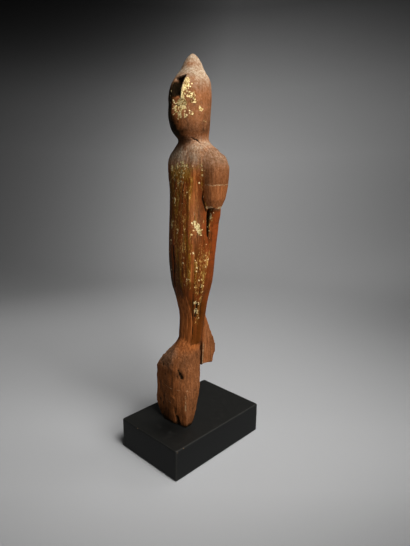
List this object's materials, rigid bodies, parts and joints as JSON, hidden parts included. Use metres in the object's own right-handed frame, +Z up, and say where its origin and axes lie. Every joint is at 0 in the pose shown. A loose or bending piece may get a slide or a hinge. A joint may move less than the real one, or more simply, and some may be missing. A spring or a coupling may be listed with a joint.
{
  "type": "wooden buddha statue",
  "caption": "Slim carved wooden buddha with a pointed crown, worn and broken at the elbows and hem, with remains of lacquer and gold leaf, on a black block stand",
  "frame": {"origin": "middle of the stand block's underside", "axes": "+Z up along the figure, -Y the way the figure faces, +X its left side"},
  "size_m": [0.1, 0.15, 0.4713],
  "materials": {
    "wood": "worn bare wood with remains of red-brown lacquer and gold leaf",
    "black_paint": "matte black paint"
  },
  "bodies": {
    "root": {"carved_figure": "wood", "stand_block": "black_paint"}
  },
  "joints": []
}
